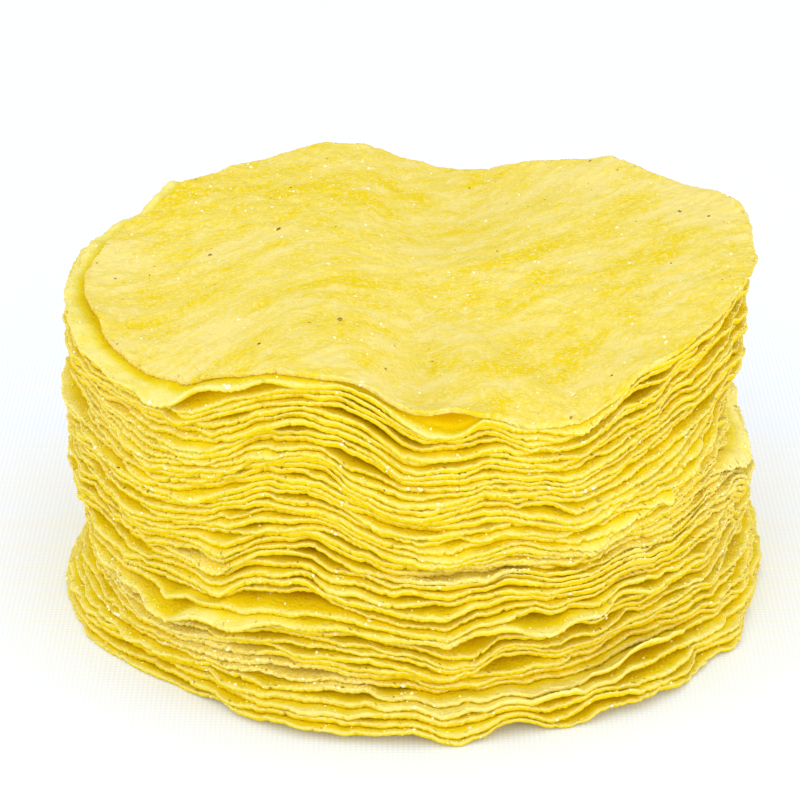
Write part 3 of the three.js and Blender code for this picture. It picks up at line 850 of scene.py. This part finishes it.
# Floury places: there the rims are crushed to meal and grit. Each entry has the angle and height
# of its middle, its spread in degrees and in mm, and how floury it is.
FLOURY = [
    (-126, 13, 7, 2.4, 1.0), (-112, 12, 6, 1.8, 0.9), (-101, 11, 5, 1.6, 0.7),
    (-146, 17, 8, 3.5, 0.9), (-74, 36.5, 12, 1.3, 0.65), (-88, 35, 7, 1.1, 0.5),
    (-126, 33, 5, 1.5, 0.7), (-26, 38, 12, 8.0, 0.6), (-57, 65, 7, 2.5, 0.4),
    (-20, 20, 12, 8.0, 0.4), (-160, 45, 14, 12.0, 0.35), (-145, 60, 10, 8.0, 0.35),
    (-84, 22, 8, 1.2, 0.6), (-52, 33, 5, 3.0, 0.5), (60, 30, 14, 3.0, 0.7),
    (130, 14, 12, 2.4, 0.8), (165, 50, 9, 2.0, 0.6), (20, 55, 10, 2.0, 0.6),
]


def floury_at(points):
    """How floury points in mm are, between 0 and 1."""
    degrees = np.degrees(np.arctan2(points[:, 1], points[:, 0]))
    share = np.zeros(len(points))
    for middle, height, width, depth, amount in FLOURY:
        aside = degrees_off(degrees, middle) / width
        above = (points[:, 2] - height) / depth
        share += amount * np.exp(-0.5 * aside ** 2 - 0.5 * above ** 2)
    return np.minimum(share, 1.0)


def bridge(inner_start, inner_count, outer_start, outer_count):
    """Triangles between two rings, seen from above with their corners anticlockwise."""
    step = outer_count / inner_count
    i = np.arange(outer_count)
    a = outer_start + i
    b = outer_start + (i + 1) % outer_count
    c = inner_start + np.round((i + 0.25) / step).astype(int) % inner_count
    d = inner_start + np.round((i + 1.25) / step).astype(int) % inner_count
    extra = c != d
    return np.concatenate([np.stack([a, b, c], axis=1), np.stack([b, d, c], axis=1)[extra]])


def crumbs_on(rows, size):
    """Small soft unevenness over rows of points that run round a rim."""
    grid = random.normal(size=(rows, SECTORS))
    return (grid + 0.25 * np.roll(grid, 1, axis=1) + 0.25 * np.roll(grid, -1, axis=1)) * size


def chips():
    """How far a dry rim has crumbled away, all round: mostly a little, with a few deeper nicks."""
    worn = abs(ripple(2.2, 9.0, 1.0)) * CHIPPING
    nicks = np.maximum(0, ripple(1.8, 9.0, 1.0) - NICK_FROM) * CHIPPING * NICK_DEPTH
    return worn + nicks


def ring_points(k, radius, count, rise, lift=0.0):
    """Points on one ring of sheet k: rise is the share of its thickness above the underside."""
    sectors = slice(0, SECTORS, SECTORS // count)
    radius = np.broadcast_to(radius, SECTORS)[sectors]
    z = height_at(k, radius, sectors) + thickness_at(k, radius, sectors) * rise + lift
    angle = sector_angles[sectors]
    return np.stack([radius * np.cos(angle), radius * np.sin(angle), z], axis=1)


def build_sheet(k, face_depths, face_rings):
    """Points and triangles of one closed tortilla.

    With them come two measures for each point: its fall, which is 0 on the crest of the rim and 1
    at the foot of the cut edge, and how far it lies under the sheet above, in mm, which is less
    than 0 for a point in the open.
    """
    rows = []
    slope = height_at(k, rim_radius[k]) - height_at(k, rim_radius[k] - 1.0)
    level = 1 / np.hypot(1.0, slope)
    worn = chips()
    edge_noise = crumbs_on(len(EDGE_PROFILE), CRUMBLE)
    face_noise = crumbs_on(len(face_depths), CRUMBLE * 0.5)
    cover = rim_radius[k + 1:k + 3].mean(axis=0) if k + 1 < sheet_count else np.zeros(SECTORS)
    crush = 1 + FLOURY_CRUSH * floury_at(ring_points(k, rim_radius[k], SECTORS, 0.5))

    def add_row(radius, count, rise, fall, lift=0.0):
        sectors = slice(0, SECTORS, SECTORS // count)
        under = np.broadcast_to((cover if rise > 0 else rim_radius[k]) - radius, SECTORS)[sectors]
        points = ring_points(k, radius, count, rise, lift)
        rows.append((points, np.full(count, fall), under))

    for radius, count in reversed(face_rings):
        add_row(radius, count, 1.0, FACE_FALL)
    for depth, noise in zip(face_depths, face_noise):
        add_row(rim_radius[k] - depth + np.minimum(noise, 0), SECTORS, 1.0, FACE_FALL)
    # The edge is crumbled up and down as well as inwards, but not by the same amount at one place.
    for (depth, rise, fall), noise in zip(EDGE_PROFILE, edge_noise):
        lift = abs(np.roll(noise, 7)) * (0.5 - rise) * crush
        add_row(rim_radius[k] - (depth + (worn + abs(noise)) * crush) * level, SECTORS, rise, fall, lift)
    for depth in UNDER_DEPTHS:
        add_row(rim_radius[k] - depth, SECTORS, 0.0, 1.0)
    for radius, count in INNER_RINGS:
        add_row(radius, count, 0.0, 1.0)

    counts = [len(points) for points, _, _ in rows]
    rings = list(zip(np.cumsum([0] + counts), counts))
    triangles = []
    for ring, following in zip(rings[:-1], rings[1:]):
        if following[1] >= ring[1]:
            triangles.append(bridge(*ring, *following))
        else:
            triangles.append(bridge(*following, *ring)[:, ::-1])
    points, fall, under = (np.concatenate(part) for part in zip(*rows))
    return points, np.concatenate(triangles), fall, under


def write_measures(mesh, measures):
    """One number per point for each measure, which a material or a node tree reads by name."""
    for label, values in measures.items():
        layer = mesh.attributes.new(label, "FLOAT", "POINT")
        layer.data.foreach_set("value", values.astype(np.float32))


def make_sheet(name, points, triangles, material, measures):
    """A smooth-shaded mesh object from points in mm."""
    mesh = bpy.data.meshes.new(name)
    mesh.vertices.add(len(points))
    mesh.vertices.foreach_set("co", (points * MM).astype(np.float32).ravel())
    mesh.loops.add(len(triangles) * 3)
    mesh.loops.foreach_set("vertex_index", triangles.astype(np.int32).ravel())
    mesh.polygons.add(len(triangles))
    mesh.polygons.foreach_set("loop_start", np.arange(len(triangles), dtype=np.int32) * 3)
    mesh.update(calc_edges=True)
    mesh.shade_smooth()
    write_measures(mesh, measures)
    mesh.materials.append(material)
    sheet = bpy.data.objects.new(name, mesh)
    bpy.context.scene.collection.objects.link(sheet)
    return sheet


# The painted glow of the light that comes through is strongest on the sheets right under the top one.
LIT_THROUGH = {45: 1.0, 44: 0.3, 43: 0.15}
LEAST_LIT = 0.09
lower_sheets = []
for k, name in enumerate(sheet_names[:-1]):
    points, triangles, fall, under = build_sheet(k, RIM_DEPTHS, INNER_RINGS)
    lower_sheets.append((points, under))
    tint = np.full(len(points), random.uniform(0, 1))
    lit = np.full(len(points), LIT_THROUGH.get(k + 1, LEAST_LIT))
    sheet = make_sheet(
        name.replace("tortilla_", "pressed_tortilla_"), points, triangles, side_dough,
        {"fall": fall, "under": under, "tint": tint, "flour": floury_at(points), "lit": lit},
    )
    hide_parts(name)
    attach(sheet, "root")

# ================================================================ top tortilla
# The one sheet whose whole face shows. It is pressed from the same masa: softly waved, with
# small blisters and press marks.

FACE_RINGS = [(radius, 360) for radius in np.arange(54.0, 20.0, -2.0)]
FACE_RINGS += [(20.0, 180), (14.0, 180), (8.0, 90), (3.0, 45), (0.0, 1)]
FACE_DEPTHS = list(np.arange(14.0, 0.0, -1.0))
BLISTER_WAVES = 140
BLISTER_LENGTHS = (2.2, 12.0)
BLISTER_HEIGHT = 0.16
BLISTER_TOP = 0.3
BLISTER_SUNK = 0.1
k = sheet_count - 1
points, triangles, fall, under = build_sheet(k, FACE_DEPTHS, FACE_RINGS)
face_count = sum(count for _, count in FACE_RINGS) + SECTORS * len(FACE_DEPTHS)
face = points[:face_count]
direction, phase, _ = random.uniform(0, 2 * math.pi, size=(3, BLISTER_WAVES))
pitch = 2 * math.pi / np.exp(random.uniform(*np.log(BLISTER_LENGTHS), size=BLISTER_WAVES))
travel = np.outer(face[:, 0], np.cos(direction)) + np.outer(face[:, 1], np.sin(direction))
blisters = np.sin(travel * pitch + phase).sum(axis=1) * BLISTER_HEIGHT / math.sqrt(BLISTER_WAVES / 2)
face[:, 2] += np.minimum(blisters, BLISTER_TOP) - BLISTER_SUNK
top = make_sheet("top_tortilla", points, triangles, top_dough, {"fall": fall, "under": under})
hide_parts(sheet_names[k])
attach(top, "root")

# ================================================================ crumbs, grits, meal and bran
# Loose crumbs of dough, white grits of maize, fine meal and brown flakes of bran. They are stuck
# to the rims, most of all in the floury places, and a few lie on the top face.
# A carrier, made of the rims and of the top face, says how many of a kind lie at each place.

GRAIN_SHINE = 0.2
grain_tree = bpy.data.node_groups.new("scatter_grains", "GeometryNodeTree")
grain_tree.is_modifier = True
for label, kind in (
    ("Geometry", "NodeSocketGeometry"), ("Density", "NodeSocketFloat"), ("Least Size", "NodeSocketFloat"),
    ("Greatest Size", "NodeSocketFloat"), ("Flatness", "NodeSocketFloat"), ("Seed", "NodeSocketInt"),
    ("Material", "NodeSocketMaterial"),
):
    grain_tree.interface.new_socket(label, in_out="INPUT", socket_type=kind)
grain_tree.interface.new_socket("Geometry", in_out="OUTPUT", socket_type="NodeSocketGeometry")
asked = grain_tree.nodes.new("NodeGroupInput")

share = add_node(grain_tree, "GeometryNodeInputNamedAttribute", {"Name": "share"}, data_type="FLOAT")
scattered = add_node(grain_tree, "GeometryNodeDistributePointsOnFaces", {
    "Mesh": asked.outputs["Geometry"], "Seed": asked.outputs["Seed"],
    "Density": add_math(grain_tree, "MULTIPLY", share.outputs["Attribute"], asked.outputs["Density"]),
})
grain_shape = add_node(grain_tree, "GeometryNodeMeshIcoSphere", {"Radius": 0.5, "Subdivisions": 1})

# Small grains are the most common, and none is quite round.
chance = add_node(
    grain_tree, "FunctionNodeRandomValue", {"Seed": asked.outputs["Seed"]}, data_type="FLOAT"
).outputs[1]
span = add_math(grain_tree, "SUBTRACT", asked.outputs["Greatest Size"], asked.outputs["Least Size"])
grown_size = add_math(grain_tree, "MULTIPLY", add_math(grain_tree, "POWER", chance, 2.2), span)
grown_size = add_math(grain_tree, "ADD", grown_size, asked.outputs["Least Size"])
uneven = add_node(
    grain_tree, "FunctionNodeRandomValue", {0: (0.7, 0.7, 0.7), 1: (1.3, 1.0, 1.0)},
    data_type="FLOAT_VECTOR",
)
flat = add_node(grain_tree, "ShaderNodeCombineXYZ", {"X": 1.0, "Y": 1.0, "Z": asked.outputs["Flatness"]})
shape_scale = add_node(
    grain_tree, "ShaderNodeVectorMath", {0: uneven.outputs[0], 1: flat.outputs[0]}, operation="MULTIPLY"
)
turned = add_node(
    grain_tree, "FunctionNodeRandomValue", {0: (-0.5, -0.5, 0.0), 1: (0.5, 0.5, 2 * math.pi)},
    data_type="FLOAT_VECTOR",
)
leaned = add_node(grain_tree, "FunctionNodeRotateRotation", {
    "Rotation": scattered.outputs["Rotation"], "Rotate By": turned.outputs[0],
}, rotation_space="LOCAL")

# Grains laid one by one stand on loose points of the carrier, which hold their size.
by_hand = add_node(
    grain_tree, "GeometryNodeInputNamedAttribute", {"Name": "laid_size"}, data_type="FLOAT"
).outputs["Attribute"]
is_laid = add_node(
    grain_tree, "FunctionNodeCompare", {0: by_hand, 1: 0.0}, data_type="FLOAT", operation="GREATER_THAN"
)
grains = grain_tree.nodes.new("GeometryNodeJoinGeometry")
for places, sizes, rotation in (
    ({"Points": scattered.outputs["Points"]}, grown_size, leaned.outputs[0]),
    ({"Points": asked.outputs["Geometry"], "Selection": is_laid.outputs[0]}, by_hand, turned.outputs[0]),
):
    sized = add_node(
        grain_tree, "ShaderNodeVectorMath", {0: shape_scale.outputs[0], "Scale": sizes}, operation="SCALE"
    )
    placed = add_node(grain_tree, "GeometryNodeInstanceOnPoints", {
        "Instance": grain_shape.outputs["Mesh"], "Rotation": rotation, "Scale": sized.outputs[0], **places,
    })
    grain_tree.links.new(placed.outputs["Instances"], grains.inputs["Geometry"])
real = add_node(grain_tree, "GeometryNodeRealizeInstances", {"Geometry": grains.outputs["Geometry"]})
smooth = add_node(grain_tree, "GeometryNodeSetShadeSmooth", {"Geometry": real.outputs["Geometry"]})
coated = add_node(grain_tree, "GeometryNodeSetMaterial", {
    "Geometry": smooth.outputs["Geometry"], "Material": asked.outputs["Material"],
})
add_node(grain_tree, "NodeGroupOutput", {"Geometry": coated.outputs["Geometry"]})
grain_sockets = {
    item.name: item.identifier for item in grain_tree.interface.items_tree if item.in_out == "INPUT"
}

# The carrier: a strip of six rows along each rim, which are the two outermost of the face and the
# four uppermost of the edge, with every second place of each. After them comes the top face.
PLACE_STEP = 2
FACE_ROWS = 2
STRIP_ROWS = 6
CREST_ROW = 3
OPEN_REACH = 0.8
strip_start = sum(count for _, count in INNER_RINGS) + SECTORS * (len(RIM_DEPTHS) - FACE_ROWS)
strip_slice = slice(strip_start, strip_start + SECTORS * STRIP_ROWS)
strips = np.array([points[strip_slice].reshape(STRIP_ROWS, SECTORS, 3) for points, _ in lower_sheets])
covered = np.array([under[strip_slice].reshape(STRIP_ROWS, SECTORS) for _, under in lower_sheets])
clumps = np.maximum(0, [ripple(3.0, 25.0, 1.0) for _ in lower_sheets])[:, None, ::PLACE_STEP]
rims = strips[:, :, ::PLACE_STEP]
rim_open = np.clip(1 - covered[:, :, ::PLACE_STEP] / OPEN_REACH, 0, 1)
carrier_points = np.concatenate([rims.reshape(-1, 3), face])
carrier_open = np.concatenate([rim_open.ravel(), np.ones(face_count)])
carrier_clump = np.concatenate([np.repeat(clumps, STRIP_ROWS, axis=1).ravel(), np.zeros(face_count)])
carrier_flour = floury_at(carrier_points)
number = np.arange(rim_open.size).reshape(rim_open.shape)
following = np.roll(number, -1, axis=2)
quads = np.stack([number[:, :-1], number[:, 1:], following[:, 1:], following[:, :-1]], axis=3)
face_triangles = triangles[(triangles < face_count).all(axis=1)] + rim_open.size
carrier_faces = quads.reshape(-1, 4).tolist() + face_triangles.tolist()
of_face = np.arange(len(carrier_points)) >= rim_open.size


def grain_material(name, first, second, roughness):
    """A plain dull grain whose tone changes from one grain to the next."""
    material, tree, shader, where = start_material(name, roughness, GRAIN_SHINE)
    tone = add_range(tree, add_noise(tree, where, 900.0, 2.0, 0.6), 0.38, 0.62)
    tree.links.new(add_colours(tree, tone, first, second), shader.inputs["Base Color"])
    return material


def on_face(x, y):
    """The point of the top face nearest to a place in mm."""
    return face[np.argmin(np.hypot(face[:, 0] - x, face[:, 1] - y))]


def on_rim(number, degrees):
    """A point on the crest of the rim of one of the tortillas 1 to 45."""
    return strips[number - 1, CREST_ROW, int(round((degrees + 180) / 360 * SECTORS)) % SECTORS]


def scatter(name, material, rim_share, face_share, density, sizes, flatness, seed, laid=()):
    """One mesh of grains: density is for each square mm, and sizes are in mm.

    The grains laid one by one are small clusters, unless they are flat flakes.
    """
    parts = ((0.0, 0.75), (0.30, 0.5), (0.34, 0.42)) if flatness > 0.5 else ((0.0, 0.8),)
    clustered = [
        (place + random.normal(size=3) * size * spread, size * part)
        for place, size in laid for spread, part in parts
    ]
    laid_points = np.array([place for place, _ in clustered]).reshape(-1, 3)
    laid_sizes = np.array([size for _, size in clustered])
    share = carrier_open * np.where(of_face, face_share, rim_share)
    mesh = bpy.data.meshes.new(name)
    mesh.from_pydata((np.concatenate([carrier_points, laid_points]) * MM).tolist(), [], carrier_faces)
    write_measures(mesh, {
        "share": np.concatenate([share, np.zeros(len(laid_points))]),
        "laid_size": np.concatenate([np.zeros(len(carrier_points)), laid_sizes * MM]),
    })
    piece = bpy.data.objects.new(name, mesh)
    bpy.context.scene.collection.objects.link(piece)
    modifier = piece.modifiers.new("grains", "NODES")
    modifier.node_group = grain_tree
    for label, value in (
        ("Density", density / MM ** 2), ("Least Size", sizes[0] * MM), ("Greatest Size", sizes[1] * MM),
        ("Flatness", flatness), ("Seed", seed), ("Material", material),
    ):
        modifier[grain_sockets[label]] = value
    evaluated = piece.evaluated_get(bpy.context.evaluated_depsgraph_get())
    grown_mesh = bpy.data.meshes.new_from_object(evaluated)
    piece.modifiers.clear()
    piece.data = grown_mesh
    grown_mesh.name = name
    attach(piece, "root")


scatter(
    "masa_crumbs", grain_material("masa_crumb", (0.87, 0.72, 0.10), (0.93, 0.82, 0.28), 0.85),
    rim_share=0.25 + 1.2 * carrier_flour + 0.5 * carrier_clump, face_share=0.02,
    density=0.30, sizes=(0.22, 0.75), flatness=0.8, seed=11,
)

LAID_GRITS = [
    (on_face(52.9, -46.3), 1.5), (on_face(32.7, -57.3), 1.2), (on_face(24.9, -73.4), 1.0),
    (on_face(9.6, -14.2), 0.9), (on_face(7.3, -15.9), 0.8), (on_face(9.8, -0.3), 0.9),
    (on_face(35.5, 60.7), 0.9), (on_face(9.2, 63.1), 0.8), (on_face(-11.0, -73.5), 2.0),
    (on_rim(45, -119.5), 2.0), (on_rim(45, -132.5), 1.4), (on_rim(33, -136), 1.0),
    (on_rim(36, -91), 1.3), (on_rim(36, -89), 1.5), (on_rim(34, -64), 1.2), (on_rim(34, -62), 1.4),
    (on_rim(27, -42), 1.5), (on_rim(38, -94), 1.2), (on_rim(37, -101), 1.2), (on_rim(42, -63), 1.0),
    (on_rim(30, -101), 1.0), (on_rim(10, -74), 1.0), (on_rim(12, -58), 1.2), (on_rim(6, -146), 2.0),
    (on_rim(6, -149), 1.4), (on_rim(9, -117), 1.1), (on_rim(13, -122), 1.3), (on_rim(30, -150), 1.2),
]
scatter(
    "white_grits", grain_material("white_grit", (0.92, 0.85, 0.48), (0.95, 0.91, 0.68), 0.6),
    rim_share=0.45 + 1.0 * carrier_flour + 0.3 * carrier_clump, face_share=0.22,
    density=0.06, sizes=(0.28, 0.95), flatness=0.85, seed=23, laid=LAID_GRITS,
)

scatter(
    "pale_meal", grain_material("pale_meal", (0.93, 0.82, 0.32), (0.97, 0.92, 0.66), 0.8),
    rim_share=np.clip(carrier_flour - 0.12, 0, 1) * 3.0, face_share=0.0,
    density=0.9, sizes=(0.16, 0.42), flatness=0.9, seed=37,
)

LAID_BRAN = [
    (on_face(-30.8, 15.3), 2.0), (on_face(-46.0, 6.5), 1.5), (on_face(-16.0, -40.8), 2.2),
    (on_face(42.7, 60.7), 1.2), (on_face(48.6, 50.8), 1.2), (on_face(56.5, 21.3), 1.6),
    (on_face(40.5, -54.1), 1.2), (on_face(-54.8, 54.5), 1.3), (on_face(-31.7, -53.6), 1.2),
    (on_face(-71.5, 7.6), 1.2), (on_face(-21.8, -44.4), 1.1), (on_face(33.5, -70.0), 1.6),
]
scatter(
    "brown_bran", grain_material("brown_bran", (0.16, 0.085, 0.02), (0.42, 0.26, 0.06), 0.8),
    rim_share=0.15, face_share=0.5,
    density=0.006, sizes=(0.30, 0.90), flatness=0.35, seed=53, laid=LAID_BRAN,
)
